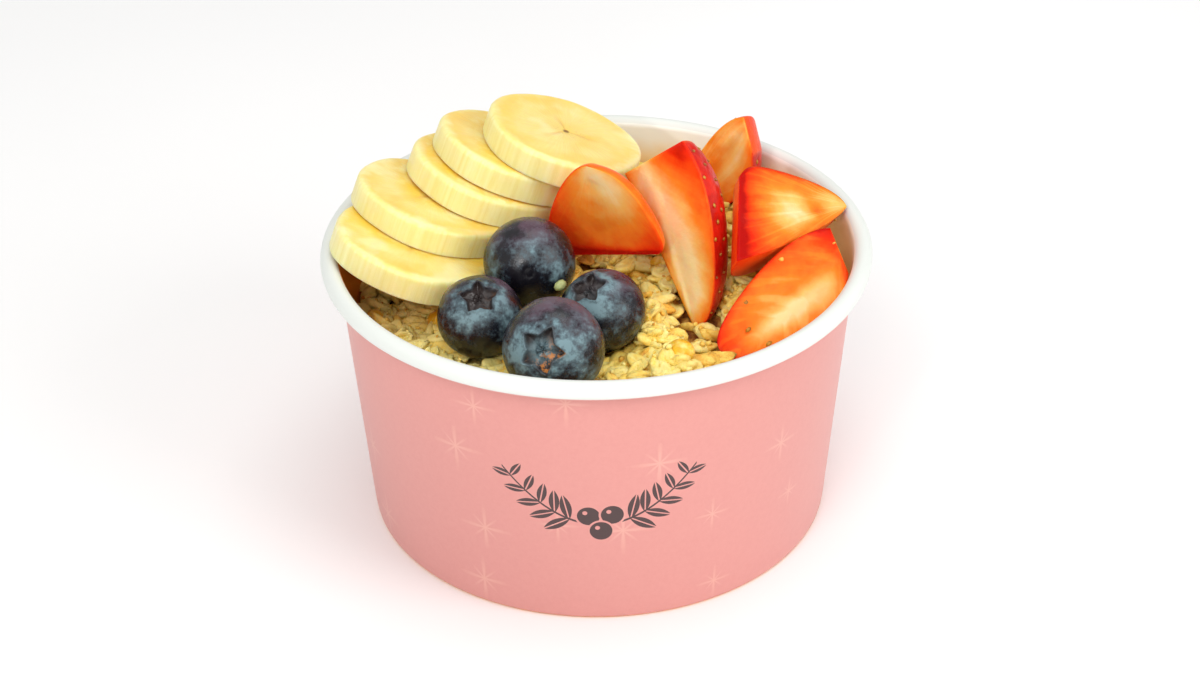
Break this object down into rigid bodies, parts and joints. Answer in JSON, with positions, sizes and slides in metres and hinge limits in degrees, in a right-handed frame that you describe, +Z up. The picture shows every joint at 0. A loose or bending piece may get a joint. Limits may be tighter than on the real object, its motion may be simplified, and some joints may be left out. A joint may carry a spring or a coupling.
{
  "type": "acai bowl",
  "caption": "Paper cup of blended acai under granola, topped with a fan of banana slices, blueberries and cut strawberry pieces.",
  "frame": {"origin": "middle of the cup's foot, on the surface it stands on", "axes": "+Z up along the cup's axis; the blueberries are on the -Y side and the strawberries on the +X side"},
  "size_m": [0.115, 0.115, 0.0834],
  "materials": {
    "printed_cup_paper": "satin",
    "cup_base_paper": "satin",
    "acai_blend": "satin",
    "granola": "matte",
    "banana": "satin",
    "blueberry": "satin",
    "strawberry": "satin"
  },
  "bodies": {
    "root": {"cup_wall": "printed_cup_paper", "cup_base": "cup_base_paper", "acai": "acai_blend", "granola": "granola", "banana_slice_1": "banana", "banana_slice_2": "banana", "banana_slice_3": "banana", "banana_slice_4": "banana", "banana_slice_5": "banana", "blueberry_1": "blueberry", "blueberry_2": "blueberry", "blueberry_3": "blueberry", "blueberry_4": "blueberry", "strawberry_1": "strawberry", "strawberry_2": "strawberry", "strawberry_3": "strawberry", "strawberry_4": "strawberry", "strawberry_5": "strawberry"}
  },
  "joints": []
}
